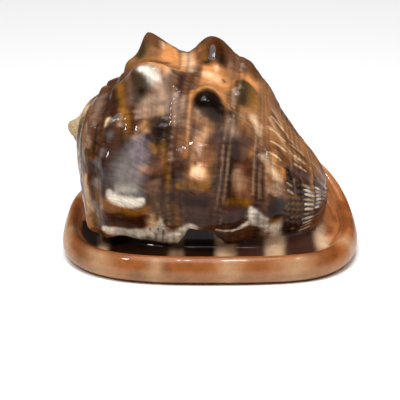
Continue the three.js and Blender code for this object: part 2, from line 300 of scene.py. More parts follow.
# The body's columns: stretches of the turn as start, end and step in degrees, in front where the
# camera sees them, behind and underneath.
BODY_STRETCHES = [(-56, 108, 0.85), (108, 218, 1.5), (218, 304, 6)]

# The body's rings: the first and last landmark, and the steps on the spire, on the cords and between.
FIRST_RING = 0.12
LAST_RING = 16.3
SPIRE_END = 5.2
SPIRE_STEP = 0.16
CORD_STEP = 0.045
PLAIN_STEP = 0.085
RIM_COLUMNS = 300
RIM_ROWS = 62


def fine_relief(landmark, angle):
    """The thin cords and the broad growth ribs, which the solid leaves out."""
    lift = np.zeros(landmark.shape)
    for place, height, count in THIN_CORDS:
        beads = 0.6 + 0.4 * cos_deg(count * angle)
        lift += height * hump(landmark, place, CORD_WIDTH) * beads
        lift -= 0.25 * height * hump(landmark, place, 2.4 * CORD_WIDTH)
    growth = growth_phase(landmark, angle)
    ribs = line_noise(growth / 3.1, 3) + 0.6 * line_noise(growth / 1.7, 5) - 0.8
    strength = 0.14 + 0.2 * rise(landmark, 9.2, 1) + 0.3 * rise(landmark, 12, 1)
    return lift + strength * ribs * rise(landmark, 4.5, 2)


def growth_phase(landmark, angle):
    """The angle at which a growth line through this place crosses the shoulder."""
    bow = 2 * np.sin(landmark * 2.1) - 14 * hump(landmark, 8.95, 0.6) * (landmark - 8.95)
    return angle + bow + 6 * np.maximum(landmark - 12.4, 0)


def line_noise(v, seed):
    """Smooth noise between 0 and 1 along one number."""
    i = np.floor(v).astype(np.int64)
    t = v - i
    t = t * t * (3 - 2 * t)
    return mix(lattice(i, 0 * i, 0 * i, seed), lattice(i + 1, 0 * i, 0 * i, seed), t)


def lattice(ix, iy, iz, seed):
    """A fixed number between 0 and 1 for each lattice point."""
    h = (ix * 73856093) ^ (iy * 19349663) ^ (iz * 83492791) ^ np.int64(seed * 2654435)
    h = ((h ^ (h >> 13)) * 1274126177) & 0x7FFFFFFF
    return ((h ^ (h >> 15)) & 0xFFFF) / 65535


def space_noise(points, size, seed):
    """Smooth noise between 0 and 1 in space, with features of about the given size."""
    p = points / size
    i = np.floor(p).astype(np.int64)
    t = p - i
    t = t * t * (3 - 2 * t)
    total = 0
    for dx in (0, 1):
        for dy in (0, 1):
            for dz in (0, 1):
                weight = (t[..., 0] if dx else 1 - t[..., 0]) * (t[..., 1] if dy else 1 - t[..., 1])
                weight = weight * (t[..., 2] if dz else 1 - t[..., 2])
                total = total + weight * lattice(i[..., 0] + dx, i[..., 1] + dy, i[..., 2] + dz, seed)
    return total


def cloud_noise(points, size, seed):
    """Space noise with two finer layers."""
    layers = [space_noise(points, size / 2 ** k, seed + k) * 0.5 ** k for k in range(3)]
    return sum(layers) / 1.75


def grid_normals(points):
    """Unit normals of a grid that is closed in its second direction."""
    along = np.gradient(points, axis=0)
    around = np.roll(points, -1, axis=1) - np.roll(points, 1, axis=1)
    normals = np.cross(around, along)
    length = np.linalg.norm(normals, axis=-1, keepdims=True)
    return normals / np.maximum(length, 1e-9)


def body_landmarks():
    """Landmarks of the rings, closer together on the cords."""
    places = [FIRST_RING]
    while places[-1] < LAST_RING:
        last = places[-1]
        near = min(abs(last - cord[0]) for cord in THIN_CORDS) < 0.2
        step = CORD_STEP if near else PLAIN_STEP
        places.append(last + (SPIRE_STEP if last < SPIRE_END else step))
    return np.array(places)


def body_grid():
    """Points of the body whorl with its landmarks and angles."""
    angles = np.concatenate([np.arange(*stretch) for stretch in BODY_STRETCHES])
    landmark, angle = np.meshgrid(body_landmarks(), angles, indexing="ij")
    points = ornate_point(landmark, angle)
    normals = grid_normals(points)
    outward = points - np.stack([points[..., 0], 0 * angle, axis_height(points[..., 0])], -1)
    middle = slice(80, 160)
    if (normals[middle] * outward[middle]).sum() < 0:
        normals = -normals
    above_lip = rise(points[..., 2], 14, 6)
    return points + normals * (fine_relief(landmark, angle) * above_lip)[..., None], landmark, angle


def catmull_rom(rows, samples, closed=False):
    """Points between rows of equal length, on a curve through each column, and their places."""
    rows = np.asarray(rows, float)
    count = len(rows)
    spans = count if closed else count - 1
    place = np.linspace(0, spans, samples, endpoint=not closed)
    i = np.minimum(np.floor(place).astype(int), spans - 1)
    t = (place - i).reshape((-1,) + (1,) * (rows.ndim - 1))
    steps = [i + k for k in (-1, 0, 1, 2)]
    near = [rows[k % count if closed else np.clip(k, 0, count - 1)] for k in steps]
    return curve_value(*near, t), place


def rim_reach(degrees):
    """Outline of the rim in plan, as the distance from its centre."""
    c, s = abs(cos_deg(degrees)), sin_deg(degrees)
    half = np.where(s < 0, RIM_FRONT, RIM_BACK)
    reach = ((c / RIM_HALF_LENGTH) ** RIM_POWER + (abs(s) / half) ** RIM_POWER) ** (-1 / RIM_POWER)
    corner = 3 * turn_hump(degrees, -42, 18) + 1.5 * turn_hump(degrees, 215, 25)
    return reach + corner - 13 * turn_hump(degrees, CANAL_BEARING, 17)


def rim_section(degrees):
    """Sections through the rim as points in space, from the neck over the crest to the face.

    The rows give how far each point lies in from the rim's outline, and its height.
    """
    lip = rise(-sin_deg(degrees), -0.75, 0.9)
    canal_lift = CANAL_RISE * turn_hump(degrees, CANAL_BEARING, 22)
    lift = canal_lift + SPIRE_RISE * turn_hump(degrees, 148, 30)
    crest = mix(SHIELD_HEIGHT, LIP_HEIGHT, lip) + lift
    ledge = crest - LEDGE_DROP - 0.3 * lip * lift
    under = 0.75 * canal_lift
    reach = rim_reach(degrees)
    neck = mix(0.24, 0.32, lip) * reach
    waist = mix(under, crest, 0.5)
    lip_side = [
        (neck + 6, 34), (neck, 32), (neck - 1.5, ledge + 5), (neck - 6, ledge + 0.6), (10.5, ledge),
        (7, crest - 1), (4, crest), (1.2, crest - 2.8), (0, waist), (0.9, under + 3.4),
        (3.8, under + 0.8),
    ]
    shield_side = [
        (neck + 6, 34), (neck, 30), (neck - 2.5, ledge + 12), (neck - 4.5, ledge + 6.5),
        (7.6, ledge + 3.6), (5.6, crest + 0.4), (3.6, crest), (1.3, crest - 1.4), (0, waist),
        (0.8, under + 2.4), (3, under + 0.6),
    ]
    face = [(8, 0.7 * under), (15, 0.18 * under), (21, 0)]
    rows = [
        (mix(shield[0], lips[0], lip), mix(shield[1], lips[1], lip))
        for shield, lips in zip(shield_side, lip_side)
    ]
    points = []
    for inset, height in rows + face:
        out = reach - inset
        y = RIM_CENTRE_Y + out * sin_deg(degrees)
        points.append(np.stack([out * cos_deg(degrees), y, height + 0 * out], -1))
    return np.stack(points)


def rim_grid():
    """Points of the rim with their place in its section and their bearing."""
    bearings = np.linspace(0, 360, RIM_COLUMNS, endpoint=False)
    sections = rim_section(bearings)
    points, place = catmull_rom(sections, RIM_ROWS)
    points[..., 2] = np.maximum(points[..., 2], 0)
    place, bearing = np.meshgrid(place, bearings, indexing="ij")
    return points, place, bearing


def slit_centre(x):
    """Middle line of the slit, which bows towards the shield at both ends."""
    return SLIT_Y + SLIT_BOW * x * x


def slit_grid():
    """Rings of the slit, from below its rolled edges up to the chamber.

    The rows give how much longer and wider than the slit each ring is, and its height.
    """
    rows = [
        (8, 8.5, -1), (5, 6, 0.2), (2, 3, 2.4), (0, 0.8, 5.5), (-1, 0, 8), (-3, 2, 12), (-12, 4, 30),
    ]
    sizes, _ = catmull_rom(rows, 25)
    a = np.linspace(0, 2 * math.pi, 120, endpoint=False)
    c, s = np.cos(a), np.sin(a)
    longer, wider, z = (sizes[:, k:k + 1] for k in range(3))
    x = SLIT_X + (SLIT_HALF_LENGTH + longer) * np.sign(c) * abs(c) ** 0.75
    y = slit_centre(x) + (SLIT_HALF_WIDTH + wider) * np.sign(s) * abs(s) ** 0.6
    return np.stack([x, y, z + 0 * x], -1)


def chamber_grid():
    """Rings of the body chamber, which reaches from the front to the top beside the columella.

    Its section is given as landmarks and shares of the whorl's radius.
    """
    outside = [
        (7.4, 0.7), (8.1, 0.79), (9, 0.84), (10, 0.85), (11, 0.85), (12, 0.83), (13, 0.78),
        (13.8, 0.64),
    ]
    columella = [(13.4, 0.3), (12.2, 0.17), (10.6, 0.13), (9.2, 0.13), (8, 0.16), (7.3, 0.4)]
    section, _ = catmull_rom(outside + columella, 42, closed=True)
    angle = np.linspace(CHAMBER_START, CHAMBER_END, 48)[:, None]
    beside_lip = 1 - 0.13 * turn_hump(angle, -33, 24)
    return body_point(section[:, 0] + 0 * angle, angle, section[:, 1] * beside_lip, CHAMBER_FLOOR)


CANAL_LINE = [
    (40, -9, 8), (49, -4, 2), (55, 4, 2), (59, 12, 9), (59.5, 20, 19), (58, 26, 30), (55, 29, 46),
]
CANAL_RADII = (4.2, 5.4)  # at its start and its end


def canal_grid():
    """Rings of the canal's groove, round and up the outside of its spout."""
    centres, _ = catmull_rom(CANAL_LINE, 40)
    rings = []
    side = Vector((0, 0, 1))
    corners = 24
    for k, centre in enumerate(centres):
        ahead = Vector(centres[min(k + 1, len(centres) - 1)] - centres[max(k - 1, 0)]).normalized()
        side = (side - ahead * side.dot(ahead)).normalized()
        across = ahead.cross(side)
        radius = mix(*CANAL_RADII, k / (len(centres) - 1))
        turns = [2 * math.pi * j / corners for j in range(corners)]
        spokes = [math.cos(t) * side + math.sin(t) * across for t in turns]
        rings.append([Vector(centre) + radius * spoke for spoke in spokes])
    return np.array(rings)


def ring_mesh(points, name):
    """A closed mesh from a grid of rings, with a fan at both ends."""
    rings, size = points.shape[:2]
    first, last = points[0].mean(0), points[-1].mean(0)
    verts = np.vstack([points.reshape(-1, 3), first, last])
    r, i = np.meshgrid(np.arange(rings - 1), np.arange(size), indexing="ij")
    a, b = r * size + i, r * size + (i + 1) % size
    quads = np.stack([a, b, b + size, a + size], -1).reshape(-1, 4).tolist()
    top = (rings - 1) * size
    fans = [(rings * size, (j + 1) % size, j) for j in range(size)]
    fans += [(rings * size + 1, top + j, top + (j + 1) % size) for j in range(size)]
    return solid_object(verts, quads + fans, name)


def solid_object(verts, faces, name):
    """An object in the scene with its faces turned out."""
    mesh = bpy.data.meshes.new(name)
    mesh.from_pydata(verts.tolist(), [], faces)
    mesh.update()
    if signed_volume(mesh) < 0:
        mesh.flip_normals()
    return add_object(name, mesh)


def add_object(name, data):
    """A new object in the scene from a mesh, a light or a camera."""
    new = bpy.data.objects.new(name, data)
    bpy.context.collection.objects.link(new)
    return new


def signed_volume(mesh):
    mesh.calc_loop_triangles()
    points = mesh_points(mesh)
    tri = np.empty(len(mesh.loop_triangles) * 3, np.int32)
    mesh.loop_triangles.foreach_get("vertices", tri)
    a, b, c = (points[tri.reshape(-1, 3)[:, k]] for k in range(3))
    return float((a * np.cross(b, c)).sum() / 6)


def mesh_points(mesh):
    points = np.empty(len(mesh.vertices) * 3)
    mesh.vertices.foreach_get("co", points)
    return points.reshape(-1, 3)


def teeth_object():
    """Both rows of teeth, as rounded ridges across the edges of the slit."""
    verts, faces = [], []
    rows, columns = 7, 12
    for side, half_length in zip((-1, 1), TOOTH_HALF_LENGTHS):
        for k in range(TOOTH_COUNT):
            x = SLIT_X + (k - (TOOTH_COUNT - 1) / 2) * TOOTH_SPACING
            y = slit_centre(x) + side * (SLIT_HALF_WIDTH + TOOTH_SETBACK)
            centre = Vector((x, y, TOOTH_HEIGHT))
            turn = Matrix.Rotation(-side * TOOTH_LEAN, 3, "X")
            base = len(verts)
            for r in range(rows):
                a = math.pi * (r + 1) / (rows + 1)
                for c in range(columns):
                    b = 2 * math.pi * c / columns
                    ring = math.sin(a) ** 0.7
                    across = TOOTH_HALF_WIDTH * ring * math.cos(b)
                    up = TOOTH_HALF_HEIGHT * ring * math.sin(b)
                    p = Vector((across, -half_length * math.cos(a), up))
                    verts.append(turn @ p + centre)
            verts.append(turn @ Vector((0, -half_length, 0)) + centre)
            verts.append(turn @ Vector((0, half_length, 0)) + centre)
            for c in range(columns):
                d = (c + 1) % columns
                faces.append((base + rows * columns, base + d, base + c))
                top = base + (rows - 1) * columns
                faces.append((base + rows * columns + 1, top + c, top + d))
                for r in range(rows - 1):
                    low = base + r * columns
                    faces.append((low + c, low + d, low + columns + d, low + columns + c))
    return solid_object(np.array(verts), faces, "teeth")


def combine(target, tool, operation):
    """Applies a boolean to the target and removes the tool."""
    modifier = target.modifiers.new("cut", "BOOLEAN")
    modifier.operation = operation
    modifier.object = tool
    modifier.solver = "MANIFOLD"
    depsgraph = bpy.context.evaluated_depsgraph_get()
    result = bpy.data.meshes.new_from_object(target.evaluated_get(depsgraph))
    target.modifiers.clear()
    target.data = result
    bpy.data.objects.remove(tool)


WELD_DISTANCE = 0.0005


def drop_folded_faces(mesh):
    """Removes pairs of faces back to back on the same points, which a boolean can leave."""
    edit = bmesh.new()
    edit.from_mesh(mesh)
    bmesh.ops.remove_doubles(edit, verts=edit.verts, dist=WELD_DISTANCE)
    bmesh.ops.triangulate(edit, faces=edit.faces)
    sharing = {}
    for face in edit.faces:
        sharing.setdefault(frozenset(v.index for v in face.verts), []).append(face)
    folded = [face for faces in sharing.values() if len(faces) > 1 for face in faces]
    bmesh.ops.delete(edit, geom=folded, context="FACES")
    edit.to_mesh(mesh)
    edit.free()


# Colours in sRGB.
COLOURS = {
    "white": (250, 244, 230), "cream": (222, 190, 156), "beige": (196, 160, 134),
    "pink_grey": (156, 126, 110), "lilac": (142, 128, 132), "slate": (106, 100, 100),
    "light_grey": (148, 140, 134), "peach": (240, 190, 150), "orange": (222, 150, 94),
    "tan": (188, 132, 88), "pink_brown": (146, 100, 74), "brown": (118, 76, 48),
    "red_brown": (84, 42, 15), "golden": (166, 112, 52), "olive": (118, 90, 54),
    "dark_olive": (70, 54, 34), "mauve": (96, 70, 62), "plum": (80, 52, 42),
    "chocolate": (62, 36, 24), "umber": (38, 22, 13), "black_brown": (18, 10, 6),
    "rim": (168, 100, 52), "rim_deep": (124, 66, 28), "rim_cream": (206, 164, 124),
    "face": (206, 112, 62), "tooth": (236, 212, 178), "chamber": (214, 150, 108),
    "apex": (200, 176, 138),
}

# Marks on the body whorl, painted in this order: colour, strength, softness, and for each point of the
# stroke its landmark, angle and half width in millimetres.
BODY_MARKS = [
    # Broad grounds.
    ("pink_brown", 0.9, 0.6, 8.6, 96, 9, 9.6, 96, 9, 11, 92, 9, 12.4, 78, 9),
    ("orange", 0.95, 0.6, 8.7, 84, 6, 9.6, 80, 6, 10.3, 66, 7),
    ("tan", 0.95, 0.6, 11.3, 78, 6, 12, 60, 7, 13, 55, 6, 14, 50, 5),
    ("tan", 0.9, 0.6, 11.3, 50, 6, 12.2, 40, 7, 13.3, 34, 6, 14.4, 30, 5),
    ("red_brown", 0.85, 0.6, 6.6, 80, 8, 7.2, 50, 8, 7.4, 22, 7, 6.9, 0, 7),
    ("pink_grey", 0.9, 0.6, 8.2, 38, 6, 8.9, 42, 5),
    ("plum", 0.95, 0.5, 8.6, 28, 6, 8.9, 8, 7, 9.1, -4, 6),
    ("brown", 0.9, 0.6, 7.8, 24, 6, 7.9, 20, 6), ("mauve", 0.9, 0.6, 10.2, 22, 7, 10, 10, 7),
    ("pink_brown", 0.95, 0.5, 11.2, 22, 6, 11.2, 4, 6),
    ("mauve", 0.9, 0.5, 13.2, 18, 6, 14.4, 6, 6, 14.6, -10, 6),
    ("chocolate", 0.9, 0.4, 10, -12, 7, 11, -12, 7),
    # Spire and ramp.
    ("apex", 0.9, 0.6, 2, 40, 5, 4.4, 30, 4), ("olive", 0.9, 0.5, 5, 20, 4, 5.8, 0, 4),
    ("golden", 0.8, 0.6, 5.5, 18, 1.6, 5.8, 6, 2), ("olive", 0.8, 0.6, 5.7, -4, 2.4, 5.8, -14, 2),
    ("cream", 0.8, 0.5, 6, -16, 1.2, 6.2, -32, 1.8),
    ("pink_grey", 0.8, 0.6, 6.3, 48, 2, 6.3, 30, 2), ("plum", 0.9, 0.5, 6.7, 58, 2.2, 6.8, 34, 3),
    ("chocolate", 0.8, 0.6, 6.5, 20, 2, 6.5, 4, 2),
    ("chocolate", 0.8, 0.6, 6.45, -6, 2, 6.5, -24, 2),
    ("golden", 0.85, 0.6, 7.25, 56, 2, 7.4, 40, 2, 7.5, 28, 2),
    ("brown", 0.8, 0.6, 7, 72, 3, 7.3, 60, 3),
    ("chocolate", 0.85, 0.5, 7.15, 44, 1.6, 7.2, 24, 1.8, 7.05, 8, 1.8),
    ("pink_brown", 0.8, 0.5, 7.6, 64, 3, 7.7, 50, 2.4),
    ("red_brown", 0.8, 0.6, 7.8, 34, 2.4, 7.8, 16, 3),
    ("golden", 0.8, 0.6, 7.62, 32, 1.2, 7.68, 20, 1.4),
    ("cream", 0.9, 0.5, 7.04, 27, 0.9, 6.98, 23, 0.8),
    ("light_grey", 0.6, 0.7, 7.2, 19, 1, 7.1, 14, 0.9), ("beige", 0.8, 0.5, 7.42, 25, 0.9),
    ("beige", 0.7, 0.6, 6.08, 12, 1, 6.05, 7, 1.2), ("light_grey", 0.8, 0.5, 6.88, 5.5, 1.7),
    ("light_grey", 0.85, 0.5, 6.74, -2, 2), ("light_grey", 0.8, 0.5, 6.72, -14, 2.2),
    ("golden", 0.7, 0.6, 6.72, -22, 1.8),
    ("umber", 0.9, 0.6, 7.08, 2, 1.4, 7.05, -8, 1.6, 6.98, -18, 1.6),
    ("mauve", 0.8, 0.6, 7.25, -6, 1.4, 7.2, -16, 1.4),
    ("light_grey", 0.9, 0.4, 6.5, -28, 1.2, 6.8, -37, 1.4),
    # First knob at the top.
    ("olive", 0.95, 0.4, 7.7, 94, 4.5, 7.9, 99, 4),
    ("dark_olive", 0.8, 0.5, 7.6, 92, 2.2, 7.75, 97, 2),
    ("brown", 0.9, 0.4, 8.15, 97, 3, 8.3, 93, 2.6),
    ("orange", 0.9, 0.4, 8.55, 94, 2.6, 8.8, 88, 3.4), ("pink_brown", 0.8, 0.5, 8.1, 86, 2.4),
    # Painted highlight: the pale cream streak near the knob's tip.
    ("cream", 0.6, 0.5, 8.38, 96, 0.7, 8.42, 92, 0.9),
    ("golden", 0.85, 0.5, 7.6, 82, 2.2, 8, 80, 2), ("brown", 0.7, 0.5, 7.6, 78, 1.2, 8.5, 78, 1),
    # Second knob, below it.
    ("orange", 0.95, 0.5, 8, 70, 3, 8.4, 70, 3.4, 9, 66, 2.6),
    ("peach", 0.9, 0.6, 8.6, 62, 2.8, 8.8, 56, 2.2),
    ("pink_grey", 0.9, 0.6, 8.1, 52, 2.8, 8.7, 48, 3),
    ("orange", 0.8, 0.6, 7.95, 62, 2, 8.2, 60, 2.6, 8.6, 58, 2.4),
    ("white", 0.9, 0.6, 8.15, 51.5, 1.6, 8.35, 49.5, 2.4, 8.55, 48.5, 1.8),
    ("beige", 0.8, 0.6, 8.55, 47, 1.8, 8.75, 45, 1.8),
    ("dark_olive", 0.95, 0.4, 7.92, 50, 2, 8.1, 45, 3.6, 8.05, 40, 2.4),
    ("umber", 0.9, 0.4, 8.12, 42.5, 1.1),
    ("beige", 0.7, 0.8, 7.9, 33.5, 0.8, 8.3, 35, 1.3, 8.75, 37.5, 1),
    ("beige", 0.7, 0.5, 7.9, 30.5, 0.7, 8.7, 34, 0.8),
    ("cream", 0.35, 0.8, 8.1, 38, 1.2, 8.5, 41, 1.5, 8.9, 44, 1.3),
    ("peach", 0.85, 0.6, 8.62, 34, 1.4, 8.3, 28, 1.8, 7.95, 19, 1.4),
    ("golden", 0.85, 0.5, 8.35, 30, 1, 8.05, 22, 1),
    ("chocolate", 0.95, 0.35, 8.55, 29, 3.6, 8.8, 24, 4, 8.3, 16, 3),
    ("umber", 0.9, 0.5, 8.75, 27, 2.4, 8.6, 21, 2),
    ("golden", 0.85, 0.5, 8.45, 17, 1.2, 8.55, 14, 1),
    ("white", 0.8, 0.4, 7.74, 13.5, 0.8, 7.84, 12, 0.7),
    # Pale swelling low on the left.
    ("plum", 0.8, 0.6, 7.6, 10, 7, 7.7, -4, 8),
    ("slate", 0.95, 0.6, 7.8, 8, 4, 7.7, -2, 6, 7.8, -9, 5.4),
    ("lilac", 0.95, 0.6, 8.1, 16, 3.4, 8.15, 9, 3.6, 8.2, 2, 3),
    ("light_grey", 0.9, 0.7, 7.6, 2, 2.2, 7.7, -6, 3.4, 8.1, -7, 3),
    ("light_grey", 0.6, 0.8, 7.75, 6, 3, 7.85, -3, 4),
    # Painted highlight: the faint white on the swelling above its white band.
    ("white", 0.45, 0.8, 7.55, -11.5, 2, 8, -8.5, 2.4), ("beige", 0.7, 0.5, 8.3, 5, 1.6),
    ("slate", 0.7, 0.6, 7.7, -12, 1.8, 8.3, -8, 1.6),
    ("white", 1, 0.35, 7.22, -14.5, 1.2, 7.4, -17, 2, 7.65, -17, 2.5, 8, -13.4, 2.3, 8.3, -11.5, 1.2),
    ("golden", 0.95, 0.35, 7.15, -22, 1.3, 7.55, -22.6, 1.6, 8.1, -18.6, 1.7, 8.45, -14.5, 1.4),
    ("red_brown", 1, 0.35, 7.08, -27.5, 2, 7.5, -29, 2.8, 8, -25.5, 2.8, 8.4, -21.5, 2),
    ("chocolate", 0.9, 0.5, 7.4, -31, 1.8, 8.2, -27.5, 2),
    ("mauve", 0.95, 0.35, 7, -33, 1.8, 7.5, -34, 2.2, 7.95, -31.5, 1.8),
    ("plum", 0.8, 0.5, 6.95, -31, 1.2, 7.05, -38, 1.2),
    ("white", 1, 0.35, 6.95, -39, 1.4, 7.5, -40, 2.4, 8, -37.5, 3, 8.5, -36, 3.4),
    ("white", 0.9, 0.4, 7.9, -35, 1.6, 8.3, -33, 2.4, 8.5, -31, 3, 8.7, -27, 3, 8.7, -21, 1.4),
    ("white", 1, 0.35, 9, -34, 4, 9.4, -29, 3, 9.7, -24, 2.2),
    ("cream", 0.9, 0.6, 8.5, -24, 2, 8.6, -18, 1.6),
    ("light_grey", 0.5, 0.6, 8.2, -40, 1.6, 9.2, -33, 1.4, 9.7, -27, 1.2),
    ("olive", 0.85, 0.5, 8.62, -6, 1, 8.68, -13, 1.2, 8.66, -21, 0.9),
    ("olive", 0.85, 0.5, 8.95, -9, 1, 8.98, -16, 1.1, 8.92, -22, 0.8),
    ("mauve", 0.8, 0.4, 8.35, -37, 0.35, 8.42, -29, 0.4),
    ("mauve", 0.8, 0.4, 8.6, -37, 0.35, 8.66, -27, 0.4),
    ("mauve", 0.8, 0.4, 8.8, -36, 0.35, 8.84, -27, 0.4),
    ("tan", 0.9, 0.4, 8.35, -42, 1.3, 8.6, -42, 1), ("tan", 0.8, 0.4, 9.1, -37, 0.8, 9.5, -35, 0.7),
    # Ribbed dark ground right of the swelling.
    ("pink_brown", 0.7, 0.8, 8.4, 4, 1.2, 8.65, 7, 1.4, 8.95, 12, 1.4),
    ("beige", 0.7, 0.7, 9.1, 13.5, 1.3), ("beige", 0.35, 0.8, 8.5, -2, 0.8, 8.8, 1, 0.8),
    ("beige", 0.35, 0.8, 8.45, -5, 0.7, 8.75, -3, 0.7),
    ("umber", 0.8, 0.5, 9.15, 4, 2.2, 9.3, -6, 2.4),
    # Cords between the first and second row.
    ("orange", 0.8, 0.5, 9.05, 84, 2.4, 9.2, 70, 2), ("plum", 0.9, 0.4, 9.12, 66, 1.6, 9.2, 50, 2),
    ("brown", 0.9, 0.4, 9.35, 76, 2, 9.42, 50, 2), ("beige", 0.85, 0.8, 9.25, 41, 2, 9.2, 33, 2.2),
    ("pink_grey", 0.8, 0.5, 8.88, 54, 1.4, 8.9, 38, 1.6),
    ("beige", 0.7, 0.5, 9.5, 38, 1.6, 9.5, 26, 1.6),
    ("pink_brown", 0.8, 0.5, 9.3, 26, 2.4, 9.4, 18, 2.4),
    ("cream", 0.7, 0.7, 9.1, 92, 1.8, 9.2, 82, 2, 9.3, 72, 1.6),
    ("plum", 0.6, 0.5, 9.5, 88, 0.9, 9.55, 66, 1),
    # Top knob of the second row.
    ("brown", 0.95, 0.4, 9.8, 92, 4.4, 10, 97, 5, 10.3, 92, 4.4),
    ("umber", 0.95, 0.5, 9.74, 82, 2.2, 9.92, 85, 3.4, 10.2, 84, 3),
    ("red_brown", 0.9, 0.5, 10.05, 89, 2.2, 10.15, 86, 1.6),
    ("golden", 0.7, 0.5, 9.62, 90, 1.4, 9.66, 84, 1.2),
    ("peach", 0.8, 0.5, 9.8, 70, 2.4, 10.1, 66, 2.6),
    # Painted highlight: the cream streak down the knob's front.
    ("cream", 0.7, 0.5, 10.05, 79, 0.8, 10.06, 73, 0.8),
    ("tan", 0.8, 0.5, 10.45, 80, 2, 10.45, 66, 2.4),
    ("chocolate", 0.6, 0.3, 10.32, 68, 0.5, 10.36, 65, 0.5),
    # The knob below it, dark with a golden halo.
    ("orange", 0.9, 0.5, 9.72, 46, 3.6, 10.1, 52, 3.8, 10.5, 46, 4.6),
    ("golden", 0.6, 0.5, 9.8, 42, 2.6, 10.1, 48, 3, 10.45, 40, 3),
    ("umber", 1, 0.3, 9.85, 41, 4.4, 10.15, 42.5, 4.8, 10.38, 38, 3.8),
    ("black_brown", 0.9, 0.5, 9.95, 40, 2.6, 10.2, 38, 2.6),
    ("chocolate", 0.9, 0.6, 10.1, 35, 2, 10.4, 33, 2.4),
    ("tan", 0.9, 0.6, 9.9, 31, 1.8, 10.1, 27, 2.4, 10.1, 17, 3), ("mauve", 0.6, 0.6, 10.4, 26, 2),
    ("red_brown", 0.6, 0.6, 10.1, 24, 3, 9.9, 18, 3),
    ("peach", 0.6, 0.7, 9.95, 27, 2, 9.9, 20, 2, 9.85, 14, 2),
    ("orange", 0.7, 0.7, 9.52, 48, 1.2, 9.54, 36, 1.4),
    # Third knob of the second row, pale, with a golden foot.
    ("pink_brown", 0.85, 0.5, 10.1, 18, 3.4, 10, 14, 3.4),
    ("tan", 0.95, 0.6, 9.7, 8.5, 2.6, 9.95, 9, 4.2, 10.15, 6, 2.6),
    ("peach", 0.95, 0.6, 9.75, 7.5, 1.8, 9.92, 9, 2.6, 9.95, 12, 1.8),
    # Painted highlight: the faint white on the pale knob.
    ("white", 0.35, 0.8, 9.9, 9.5, 1.4),
    ("golden", 1, 0.45, 9.4, 1, 1.8, 9.8, 3.5, 2.2, 10.15, 3, 2.4),
    ("red_brown", 1, 0.35, 9.4, -5, 2.6, 9.9, -4, 3.4, 10.2, -4, 2.6),
    ("umber", 0.7, 0.5, 9.6, -6.5, 1.8, 10.1, -6, 1.8),
    ("mauve", 0.95, 0.35, 9.45, -13, 2.2, 9.8, -12.5, 2.8, 10.05, -11, 1.8),
    ("plum", 0.7, 0.5, 9.6, -17, 1.4, 9.95, -16, 1.4),
    ("golden", 0.6, 0.7, 9.2, -10, 1.4, 9.3, -20, 1.6),
    ("golden", 0.5, 0.7, 8.8, 18, 1.2, 9.1, -2, 1.2),
    ("orange", 0.5, 0.7, 9.55, 34, 1.6, 9.5, 16, 1.4),
    # Second band of cords.
    ("plum", 0.9, 0.35, 10.72, 40, 1.8, 10.75, 20, 2.8, 10.7, 0, 2.8, 10.6, -16, 2.2),
    ("umber", 0.7, 0.5, 10.9, 24, 1.4, 10.92, 0, 1.4),
    ("beige", 0.5, 0.35, 10.62, 44, 0.6, 10.63, 10, 0.55, 10.5, -12, 0.5),
    ("beige", 0.5, 0.35, 10.8, 40, 0.6, 10.81, 10, 0.55, 10.65, -14, 0.5),
    ("brown", 0.8, 0.4, 10.75, 62, 1.6, 10.8, 46, 2),
    ("beige", 0.8, 0.4, 10.72, 58, 0.8, 10.75, 46, 0.9),
    ("beige", 0.8, 0.8, 10.72, 34, 2, 10.95, 30, 2.2),
    ("mauve", 0.8, 0.4, 10.25, -8, 1, 10.1, -18, 0.9),
    ("red_brown", 0.9, 0.4, 10.35, -8, 0.8, 10.25, -18, 0.8),
    ("red_brown", 0.9, 0.4, 10.52, -8, 0.6, 10.42, -19, 0.7),
    # Third row of knobs.
    ("brown", 0.9, 0.4, 11, 92, 4, 11.3, 86, 4),
    ("orange", 0.85, 0.7, 10.95, 80, 2.4, 11.35, 76, 2.8),
    ("golden", 0.85, 0.6, 10.8, 72, 2.6, 11.2, 66, 3, 11.4, 56, 3),
    ("olive", 0.95, 0.4, 11.05, 62, 3, 11.05, 54, 3),
    ("dark_olive", 0.8, 0.5, 10.98, 62, 1.2, 11, 52, 1.6),
    ("chocolate", 0.95, 0.4, 11, 26, 2.6, 11.05, 20, 2.6),
    ("brown", 0.95, 0.6, 11.15, 32, 2.4, 11.4, 28, 2.4), ("orange", 0.6, 0.6, 11.45, 25, 1.6),
    ("red_brown", 0.8, 0.5, 11.35, 19, 2.4, 11.4, 14, 1.6),
    ("beige", 0.6, 0.6, 11.1, 12, 1.8, 11.2, 8, 2.4),
    ("golden", 0.9, 0.4, 10.95, -2, 1.6, 11.35, -1, 1.6),
    ("plum", 0.95, 0.35, 10.7, -7, 2.4, 11.15, -6, 3.6, 11.15, -12, 3),
    ("mauve", 0.7, 0.5, 11, -9, 2),
    ("red_brown", 0.95, 0.4, 10.55, -17, 1.2, 11, -16.5, 1.4, 11.25, -13, 1),
    ("white", 1, 0.3, 11.4, -3, 0.8, 11.55, -9, 2.4, 11.75, -12, 2.6),
    ("white", 0.95, 0.35, 10.6, -20, 0.7, 11.1, -18.5, 0.8, 11.35, -14, 1.4),
    ("lilac", 0.5, 0.5, 11.6, -8, 1.4, 11.7, -13, 1.4),
    # Third band of cords.
    ("chocolate", 0.85, 0.35, 11.6, 26, 1.8, 11.62, 10, 2.6, 11.6, 0, 2.4),
    ("beige", 0.5, 0.35, 11.5, 44, 0.6, 11.51, 4, 0.5),
    ("beige", 0.5, 0.35, 11.65, 44, 0.6, 11.65, 2, 0.5),
    ("beige", 0.6, 0.35, 11.8, 30, 0.5, 11.8, 4, 0.5),
    ("cream", 0.75, 0.5, 11.7, 24, 1.4, 12, 22, 1.4),
    ("cream", 0.7, 0.5, 11.4, 46, 2, 11.6, 38, 1.4),
    # Between the third and the last row.
    ("cream", 0.9, 0.4, 12, 18, 1.8, 12.3, 15, 2),
    ("orange", 0.85, 0.4, 12.42, 20, 1.6, 12.5, 17, 1.4),
    ("beige", 0.9, 0.4, 11.95, 9, 2, 12.2, 8, 2.2),
